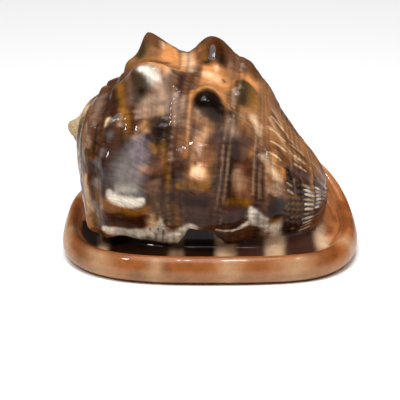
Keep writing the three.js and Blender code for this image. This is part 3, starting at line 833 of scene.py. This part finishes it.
    ("chocolate", 0.95, 0.35, 12, -1, 2.6, 12.3, 0, 2.6, 12.15, -6, 3),
    ("umber", 0.7, 0.5, 12.1, -3, 1.6, 12.35, -4, 1.6),
    ("black_brown", 0.7, 0.6, 12, -2, 1.4, 12.3, -2, 1.6),
    ("golden", 0.8, 0.5, 11.9, -11, 1.2, 12.3, -11, 1.4),
    ("white", 0.95, 0.5, 12, -16, 2.6, 12.25, -18, 3, 12.1, -30, 3),
    ("brown", 0.8, 0.5, 12.2, 34, 2, 12.5, 26, 2.4),
    ("cream", 0.55, 0.4, 11.95, 50, 0.6, 12.6, 38, 0.6, 13.2, 30, 0.6),
    ("cream", 0.5, 0.4, 12.1, 60, 0.6, 12.9, 48, 0.6, 13.6, 42, 0.5),
    ("brown", 0.6, 0.5, 12.1, 55, 1.4, 12.9, 43, 1.4, 13.7, 36, 1.2),
    # Last bands towards the canal.
    ("chocolate", 0.95, 0.35, 12.65, 22, 1.4, 12.75, 8, 2.6, 12.8, -6, 3.6, 12.75, -18, 3.8),
    ("chocolate", 0.9, 0.35, 13.15, 14, 1.8, 13.2, -2, 2.8, 13.15, -18, 3.4),
    ("red_brown", 0.6, 0.5, 12.9, 4, 1.6, 13, -8, 1.8),
    ("golden", 0.75, 0.4, 12.6, 4.5, 0.6, 13.2, 3, 0.6),
    ("golden", 0.75, 0.4, 12.65, 0, 0.6, 13.3, -1.5, 0.6),
    ("golden", 0.7, 0.4, 12.6, -4.5, 0.6, 13.3, -6, 0.6),
    ("golden", 0.6, 0.4, 12.8, -10, 0.6, 13.3, -11, 0.6),
    ("beige", 0.5, 0.4, 12.95, 16, 0.6, 13, 4, 0.5),
    ("tan", 0.85, 0.4, 14.02, 30, 0.9, 14.05, 0, 0.9, 13.9, -16, 0.8),
    ("umber", 0.8, 0.5, 13.6, 10, 2, 13.75, -4, 3, 13.7, -18, 3.4),
    ("tan", 0.7, 0.6, 13.95, 20, 1, 14.05, 4, 1.2, 14, -8, 1),
    ("umber", 0.7, 0.5, 14.35, 6, 1.4, 14.45, -8, 1.8),
]

# Pale dashes along the growth lines near the canal: landmark, angle and length in landmarks.
DASHES = [
    (13.4, 13, 0.5), (13.42, 9.5, 0.6), (13.5, 6, 0.7), (13.45, 2, 0.7), (13.5, -2, 0.7),
    (13.5, -6, 0.6), (13.45, -10, 0.5), (13.4, -14, 0.7), (13.35, -18, 0.8), (13.3, -22, 0.8),
    (13.25, -26, 0.7), (14.2, 12, 0.5), (14.25, 8, 0.5), (14.3, 4, 0.5), (14.3, 0, 0.5),
    (14.3, -4, 0.5), (14.25, -8, 0.4), (12.8, -20, 0.25), (12.75, -25, 0.25), (12.55, 13, 0.3),
    (12.6, 8.5, 0.3), (11.9, 44, 0.8), (12, 36, 0.8), (12.1, 52, 0.8), (12.9, 34, 0.8),
    (13, 27, 0.7), (12.9, 42, 0.8), (11.9, 28, 0.5),
]

BRUSH = 1.3  # widens every stroke
LAST_SEEN_ANGLE = 110  # the photograph shows the whorl up to here
FINE_STROKE = 1.2  # a stroke up to this half width keeps nearly steady edges

# Bands round the whorl, as landmark and width.
DARK_BANDS = [(9.25, 0.3), (10.72, 0.24), (11.62, 0.22), (12.9, 0.4)]

# Dark patches on the ledge behind the lip, as the stretch of each along the front, and the bearings
# of those on the shield's ledge.
LEDGE_PATCHES = [(-72, -55), (-50, -19.5), (-13.5, 3), (12.5, 26.5), (35.5, 51.5)]
SHIELD_PATCHES = [40, 80, 114, 147]

# Pale bars over the rim: place and half width along the front, and bearings behind.
FRONT_BARS = [(-72, 4), (-54, 7), (-26, 4), (9, 6), (40, 9)]
BACK_BARS = [20, 62, 98, 131, 163, 196, 335]


def linear(colour):
    c = np.array(COLOURS[colour], float) / 255
    return np.where(c <= 0.04045, c / 12.92, ((c + 0.055) / 1.055) ** 2.4)


def blend(paint, colour, weight):
    """The paint with a colour laid over it at a weight for each point."""
    return paint + (linear(colour) - paint) * np.clip(weight, 0, 1)[:, None]


def layered(paint, *layers):
    """The paint with pairs of colour and weight laid over it, one after the other."""
    for colour, weight in layers:
        paint = blend(paint, colour, weight)
    return paint


def stroke_weight(points, line, softness):
    """How much a soft round brush leaves on each point when drawn along a line."""
    nearest = np.full(len(points), 9.0)
    line = [(np.asarray(p), width) for p, width in line]
    if len(line) == 1:
        line = line * 2
    for (start, from_width), (end, to_width) in zip(line, line[1:]):
        span = end - start
        t = np.clip((points - start) @ span / max(span @ span, 1e-6), 0, 1)
        distance = np.linalg.norm(points - start - t[:, None] * span, axis=1)
        nearest = np.minimum(nearest, distance / mix(from_width, to_width, t))
    return fall(nearest, 1 - softness, 2 * softness)


def fine_line(line):
    """A stroke's points and widths in space, with points between, so that it follows the whorl."""
    places = np.array(line, float)
    if len(places) > 1:
        places, _ = catmull_rom(places, 3 * (len(places) - 1) + 1)
    return [(ornate_point(p[0], p[1]), BRUSH * p[2]) for p in places]


def ground_paint(points, landmark, angle):
    """The colours of the whorl all round, before the marks: bands, knobs and pale patches."""
    cloud = cloud_noise(points, 14, 11)
    small = cloud_noise(points, 5, 31)
    streaks = line_noise(growth_phase(landmark, angle) / 7, 17)
    paint = layered(
        np.tile(linear("tan"), (len(points), 1)),
        ("pink_brown", rise(cloud, 0.4, 0.2)),
        ("mauve", 0.7 * rise(small, 0.55, 0.15)),
        ("red_brown", 0.8 * rise(streaks, 0.62, 0.15) * rise(cloud, 0.35, 0.2)),
        ("cream", 0.7 * rise(small, 0.62, 0.1)),
    )
    broken = rise(cloud_noise(points, 9, 53), 0.3, 0.15)
    for place, width in DARK_BANDS:
        paint = blend(paint, "chocolate", 0.85 * hump(landmark, place, width) * broken)
    paint = blend(paint, "apex", 0.8 * fall(landmark, 3, 2.5))
    spire_spots = rise(line_noise(angle / 11 + 3 * landmark, 23), 0.5, 0.2)
    return blend(paint, "brown", 0.7 * spire_spots * rise(landmark, 1, 1) * fall(landmark, 6.5, 1))


def hidden_knob_marks():
    """Marks on the knobs that the photograph doesn't show, like those that it does."""
    marks = []
    for row, (place, _, _, _, knobs) in enumerate(KNOB_ROWS):
        for k, (turn, height, width, _) in enumerate(knobs):
            if turn < LAST_SEEN_ANGLE:
                continue
            w = 0.5 * width + 0.1 * height
            top = "peach" if (row + k) % 3 == 0 else "umber"
            marks += [
                ("orange", 0.9, 0.5, place, turn - 8, w, place + 0.25, turn + 8, w),
                (top, 0.9, 0.45, place, turn + 1, 0.85 * w),
                ("cream", 0.7, 0.5, place - 0.3, turn + 13, 1.8, place + 0.4, turn + 15, 2),
                ("chocolate", 0.7, 0.5, place + 0.45, turn - 4, 0.5 * w, place + 0.5, turn + 9, 2),
            ]
    return marks


def body_paint(points, landmark, angle):
    """The whorl's ground with its marks, dashes and cords, darker and richer towards the floor as
    painted shade.
    """
    paint = ground_paint(points, landmark, angle)
    shift = [cloud_noise(points, 7, 70 + k) - 0.5 for k in range(3)]
    fine = [space_noise(points, 1.8, 90 + k) - 0.5 for k in range(3)]
    ragged = points + 2.6 * np.stack(shift, -1) + 0.9 * np.stack(fine, -1)
    for colour, strength, softness, *numbers in hidden_knob_marks() + BODY_MARKS:
        line = np.reshape(numbers, (-1, 3))
        warp = 1 if line[:, 2].max() > FINE_STROKE else 0.3
        warped = mix(points, ragged, warp)
        weight = stroke_weight(warped, fine_line(line), 1.5 * softness)
        paint = blend(paint, colour, strength * weight)
    for k, (place, turn, length) in enumerate(DASHES):
        middle = (place + length / 2, turn - 1, 0.45)
        line = [(place, turn, 0.3), middle, (place + length, turn - 2.6, 0.15)]
        colour = "white" if place > 13 and k % 3 else "cream"
        paint = blend(paint, colour, 0.9 * stroke_weight(points, fine_line(line), 0.5))
    for place, height, count in THIN_CORDS:
        on_cord = hump(landmark, place, 0.8 * CORD_WIDTH)
        beads = 0.5 + 0.5 * cos_deg(count * angle)
        paint = blend(paint, "beige", 0.45 * on_cord * beads * height)
        beside_cord = hump(landmark, place + 1.7 * CORD_WIDTH, 0.7 * CORD_WIDTH)
        paint = blend(paint, "chocolate", 0.35 * beside_cord)
    # Painted shade: below 80 mm the paint darkens and grows richer towards the floor, fully below 18
    # mm.
    low = fall(points[:, 2], 18, 62)[:, None]
    painted_low_shade = 1 - low * np.array([0.3, 0.38, 0.44])
    return deep_tones(paint, 1.06 + 0.2 * low) * painted_low_shade


def deep_tones(paint, richness):
    """The paint with richer colours, and deeper middle and dark tones, as under a thick glaze."""
    brightness = (paint @ np.array([0.3, 0.6, 0.1]))[:, None]
    richer = np.maximum(brightness + richness * (paint - brightness), 0.002)
    return richer * mix(0.52, 1, rise(brightness, 0.05, 0.6))


def rim_paint(points, place, bearing):
    """The glazed lip and shield, the patches on the ledge and the orange face with its teeth."""
    wander = 3 * (cloud_noise(points, 8, 5) - 0.5)
    along = points[:, 0] + wander
    front = fall(points[:, 1], -14, 36)
    cloud = cloud_noise(points, 16, 41)
    paint = np.tile(linear("rim"), (len(points), 1))
    paint = blend(paint, "rim_deep", 0.8 * rise(cloud, 0.42, 0.25))
    left_end = rise(-points[:, 0], 30, 35)
    paint = blend(paint, "rim_deep", 0.7 * left_end * rise(place, 4.8, 0.6) * fall(place, 7, 1))
    for x, width in FRONT_BARS:
        pale = hump(along, x, width) * front * rise(place, 5.8, 1)
        paint = blend(paint, "rim_cream", 0.9 * pale)
    for turn in BACK_BARS:
        pale = turn_hump(bearing + 2 * wander, turn, 4.5) * rise(place, 4, 1) * fall(place, 8.5, 1)
        paint = blend(paint, "rim_cream", 0.7 * pale)
    on_ledge = fall(place, 4.45, 0.35)
    deep_crest = front * fall(points[:, 0], -30, 50) * hump(place, 5, 0.6)
    bowl = (rise(points[:, 0], 55, 6) + rise(-points[:, 0], 54, 5)) * on_ledge
    stripes = rise(line_noise(16 * place + 0.12 * points[:, 1], 47), 0.45, 0.2)
    paint = layered(
        paint,
        ("rim_cream", 0.45 * rise(place, 7.4, 1) * fall(place, 10, 1)),
        ("cream", 0.95 * on_ledge * (1 - 0.5 * rise(cloud, 0.45, 0.2))),
        ("red_brown", 0.75 * deep_crest),
        ("rim", 0.9 * bowl),
        ("rim_deep", 0.7 * bowl * stripes),
        # Painted shade: dark olive on the front of the ledge, in the gap under the whorl's overhang.
        ("dark_olive", 0.7 * on_ledge * front * hump(along, -16.5, 4)),
    )
    for low, high in LEDGE_PATCHES:
        inside = rise(along, low - 2, 4) * fall(along, high - 2, 4)
        edge = fall(place + 0.06 * wander, 4.15, 0.25)
        near_lip = points[:, 1] < (-6 if high < -50 else -20)
        paint = blend(paint, "umber" if high < 20 else "plum", inside * edge * near_lip)
        paint = blend(paint, "chocolate", 0.5 * inside * edge * rise(cloud, 0.45, 0.15))
    for turn in SHIELD_PATCHES:
        patch = fall(abs(wrap_degrees(bearing + 1.5 * wander - turn)), 8, 3)
        paint = blend(paint, "umber", 0.9 * patch * fall(place, 4.4, 0.4) * rise(place, 2, 0.5))
    # The rim's front is darker, partly its own deeper colour and partly painted shade, less so towards
    # the lit end by the canal.
    lit_end = 1 - 0.6 * rise(points[:, 0], 46, 14)
    paint = paint * mix(1, np.array([0.55, 0.5, 0.45]), (0.8 * front * lit_end)[:, None])
    return blend(paint, "face", rise(place, 10.4, 1.2))


def inside_paint(points):
    """The slit's rolled edges, and the paler chamber above them."""
    face = np.tile(linear("face"), (len(points), 1))
    chamber = ("chamber", rise(points[:, 2], 10, 8))
    return layered(face, chamber, ("cream", 0.5 * rise(points[:, 2], 26, 20)))


# Kinds of source points, in the order of the grids.
BODY, RIM, INSIDE, TEETH, CANAL = range(5)


def source_places(grids):
    """A tree of all source points, with the kind and the two place numbers of each."""
    points = np.vstack([grid.reshape(-1, 3) for grid, _, _ in grids])
    kinds = np.concatenate([np.full(grid[..., 0].size, k) for k, (grid, _, _) in enumerate(grids)])
    first = np.concatenate([a.ravel() for _, a, _ in grids])
    second = np.concatenate([b.ravel() for _, _, b in grids])
    tree = kdtree.KDTree(len(points))
    for k, p in enumerate(points):
        tree.insert(p, k)
    tree.balance()
    return tree, kinds, first, second


def paint_shell(mesh, grids):
    """Gives the mesh its paint, growth, spiral and rib attributes, while it is in millimetres."""
    tree, kinds, first, second = source_places(grids)
    points = mesh_points(mesh)
    nearest = np.array([tree.find(p)[1] for p in points])
    kind, first, second = kinds[nearest], first[nearest], second[nearest]
    paint = np.zeros((len(points), 3))
    growth = np.zeros(len(points))
    ribs = np.zeros(len(points))
    spiral = np.where(kind == BODY, first, 0)
    on = kind == BODY
    paint[on] = body_paint(points[on], first[on], second[on])
    growth[on] = growth_phase(first[on], second[on])
    calm = hump(first[on], 7.8, 0.5) * turn_hump(second[on], -2, 14)
    ribs[on] = (0.4 + 0.6 * fall(second[on], 28, 24)) * (1 - 0.6 * calm)
    on = kind == RIM
    paint[on] = rim_paint(points[on], first[on], second[on])
    growth[on] = 6 * first[on]
    ribs[on] = 0.12
    on = (kind == INSIDE) | (kind == CANAL)
    paint[on] = inside_paint(points[on])
    paint[kind == TEETH] = linear("tooth")
    colours = mesh.attributes.new("paint", "FLOAT_COLOR", "POINT")
    colours.data.foreach_set("color", np.column_stack([paint, np.ones(len(points))]).ravel())
    for name, values in (("growth", growth), ("ribs", ribs), ("spiral", spiral)):
        attribute = mesh.attributes.new(name, "FLOAT", "POINT")
        attribute.data.foreach_set("value", values)


def build_shell():
    """The whole shell as one closed and painted mesh, still in millimetres."""
    body, landmark, angle = body_grid()
    rim, place, bearing = rim_grid()
    slit, chamber, canal = slit_grid(), chamber_grid(), canal_grid()
    teeth = teeth_object()
    inside = np.vstack([slit.reshape(-1, 3), chamber.reshape(-1, 3)])
    grids = [(body, landmark, angle), (rim, place, bearing)]
    for points in (inside, mesh_points(teeth.data), canal.reshape(-1, 3)):
        grids.append((points, points[:, 0], points[:, 0]))  # their place numbers aren't used
    piece = ring_mesh(body, "shell_dressed")
    combine(piece, ring_mesh(rim, "rim"), "UNION")
    for points, name in ((slit, "slit"), (chamber, "chamber"), (canal, "canal")):
        combine(piece, ring_mesh(points, name), "DIFFERENCE")
    combine(piece, teeth, "UNION")
    drop_folded_faces(piece.data)
    paint_shell(piece.data, grids)
    return piece


def shell_material():
    """Glazed shell: the painted colours, broken up along the growth lines, with a low bump."""
    material = bpy.data.materials.new("glazed_shell")
    material.use_nodes = True
    nodes, links = material.node_tree.nodes, material.node_tree.links
    shader = nodes["Principled BSDF"]
    for key, number in (("Coat Weight", 0.28), ("Coat Roughness", 0.04), ("Specular IOR Level", 0.04)):
        shader.inputs[key].default_value = number

    def attribute(name, output):
        node = nodes.new("ShaderNodeAttribute")
        node.attribute_name = name
        return node.outputs[output]

    def noise(scale, detail, vector):
        node = nodes.new("ShaderNodeTexNoise")
        node.inputs["Scale"].default_value = scale
        node.inputs["Detail"].default_value = detail
        links.new(vector, node.inputs["Vector"])
        return node.outputs["Fac"]

    def ranged(value, *limits):
        node = nodes.new("ShaderNodeMapRange")
        links.new(value, node.inputs["Value"])
        for key, number in zip(("From Min", "From Max", "To Min", "To Max"), limits):
            node.inputs[key].default_value = number
        return node.outputs["Result"]

    def maths(operation, first, second):
        node = nodes.new("ShaderNodeMath")
        node.operation = operation
        for socket, value in zip(node.inputs, (first, second)):
            if isinstance(value, (int, float)):
                socket.default_value = value
            else:
                links.new(value, socket)
        return node.outputs[0]

    def lay(across, across_scale, along, along_scale):
        node = nodes.new("ShaderNodeCombineXYZ")
        links.new(maths("MULTIPLY", across, across_scale), node.inputs["X"])
        links.new(maths("MULTIPLY", along, along_scale), node.inputs["Y"])
        return node.outputs["Vector"]

    place = nodes.new("ShaderNodeTexCoord").outputs["Object"]
    growth, ribs, spiral = (attribute(name, "Fac") for name in ("growth", "ribs", "spiral"))
    lines = noise(1, 3, vector=lay(spiral, 1.3, growth, 0.6))
    streaks = noise(1, 3, vector=lay(spiral, 9, growth, 0.06))
    blots = noise(1, 2, vector=lay(spiral, 3.5, growth, 0.2))
    specks = noise(900, 3, vector=place)
    clouds = noise(160, 3, vector=place)
    tone = maths("ADD", ranged(lines, 0.3, 0.7, -0.26, 0.2), ranged(streaks, 0.3, 0.7, -0.2, 0.14))
    tone = maths("ADD", tone, ranged(blots, 0.35, 0.65, -0.22, 0.14))
    tone = maths("MULTIPLY", tone, ribs)
    tone = maths("ADD", tone, ranged(clouds, 0.3, 0.7, 0.86, 1.14))
    tone = maths("MULTIPLY", tone, ranged(specks, 0.3, 0.7, 0.93, 1.07))
    scaled = nodes.new("ShaderNodeVectorMath")
    scaled.operation = "SCALE"
    links.new(attribute("paint", "Color"), scaled.inputs[0])
    links.new(tone, scaled.inputs["Scale"])
    links.new(scaled.outputs["Vector"], shader.inputs["Base Color"])
    links.new(ranged(clouds, 0.3, 0.7, 0.24, 0.4), shader.inputs["Roughness"])
    bump = nodes.new("ShaderNodeBump")
    bump.inputs["Strength"].default_value = 0.4
    bump.inputs["Distance"].default_value = 0.0004
    height = maths("ADD", maths("MULTIPLY", lines, ribs), maths("MULTIPLY", specks, 0.08))
    links.new(height, bump.inputs["Height"])
    links.new(bump.outputs["Normal"], shader.inputs["Normal"])
    return material


SHARP_ANGLE = 50


def finish_mesh(piece):
    """Puts the mesh in its place in metres, with smooth shading."""
    mesh = piece.data
    mesh.transform(Matrix.Translation((AXIS_X * MM, AXIS_Y * MM, 0)) @ Matrix.Scale(MM, 4))
    mesh.polygons.foreach_set("use_smooth", [True] * len(mesh.polygons))
    mesh.set_sharp_from_angle(angle=math.radians(SHARP_ANGLE))
    mesh.update()


# The camera that was fitted to the photograph, in metres and degrees.
CAMERA_TARGET = (AXIS_X * MM, AXIS_Y * MM, AXIS_HEIGHT * MM)
CAMERA_DISTANCE = 0.6
CAMERA_ELEVATION = 17
CAMERA_LENS = 105.47
CAMERA_SHIFT = (-0.02625, -0.10375)


def add_camera():
    data = bpy.data.cameras.new("camera")
    data.sensor_width = 36
    data.lens = CAMERA_LENS
    data.shift_x, data.shift_y = CAMERA_SHIFT
    camera = add_object("camera", data)
    elevation = math.radians(CAMERA_ELEVATION)
    back = Vector((0, -math.cos(elevation), math.sin(elevation)))
    camera.location = Vector(CAMERA_TARGET) + CAMERA_DISTANCE * back
    camera.rotation_euler = (math.radians(90 - CAMERA_ELEVATION), 0, 0)
    bpy.context.scene.camera = camera


LIGHT_TARGET = (0, 0, 0.04)
SIDE_LAMP_SIZE = 0.085
CEILING_LAMPS = [(-0.09, 0.02), (-0.055, 0.02), (0.045, 0.04), (0.085, 0.03)]  # place and width
CEILING_LAMP_LENGTH = 0.1
CEILING_LAMP_POWER = 26  # watts for each metre of width


def add_light(kind, name, place, power, width, length=0):
    """A sun or a flat lamp at a place, aimed at the shell."""
    data = bpy.data.lights.new(name, kind)
    data.energy = power
    if kind == "SUN":
        data.angle = width
    else:
        data.shape = "RECTANGLE"
        data.size, data.size_y = width, length
    light = add_object(name, data)
    light.location = place
    aim = Vector(LIGHT_TARGET) - Vector(place)
    light.rotation_euler = aim.to_track_quat("-Z", "Y").to_euler()


def add_lights():
    add_light("SUN", "soft_sky_light", (-0.1, -0.3, 0.9), 2.6, 0.7)
    for name, place in (("left_lamp", (-0.5, -0.5, 0.7)), ("right_lamp", (0.45, -0.45, 0.8))):
        add_light("AREA", name, place, 1.8, SIDE_LAMP_SIZE, SIDE_LAMP_SIZE)
    for k, (x, width) in enumerate(CEILING_LAMPS):
        power = CEILING_LAMP_POWER * width
        add_light("AREA", f"ceiling_lamp_{k}", (x, -0.42, 0.85), power, width, CEILING_LAMP_LENGTH)


def add_floor():
    """A white floor of 10 by 10 metres."""
    mesh = bpy.data.meshes.new("floor")
    mesh.from_pydata([(-5, -5, 0), (5, -5, 0), (5, 5, 0), (-5, 5, 0)], [], [(0, 1, 2, 3)])
    floor = add_object("floor", mesh)
    material = bpy.data.materials.new("floor")
    material.use_nodes = True
    shader = material.node_tree.nodes["Principled BSDF"]
    shader.inputs["Base Color"].default_value = (0.9, 0.9, 0.9, 1)
    shader.inputs["Roughness"].default_value = 0.9
    mesh.materials.append(material)


def add_world():
    world = bpy.context.scene.world or bpy.data.worlds.new("world")
    bpy.context.scene.world = world
    world.use_nodes = True
    background = world.node_tree.nodes["Background"]
    background.inputs["Color"].default_value = (1, 1, 1, 1)
    background.inputs["Strength"].default_value = 0.1


shell = build_shell()
shell.data.materials.clear()
shell.data.materials.append(shell_material())
finish_mesh(shell)
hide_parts("shell")
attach(shell, "root")
add_floor()
add_camera()
add_world()
add_lights()
bpy.context.scene.view_settings.view_transform = "Standard"
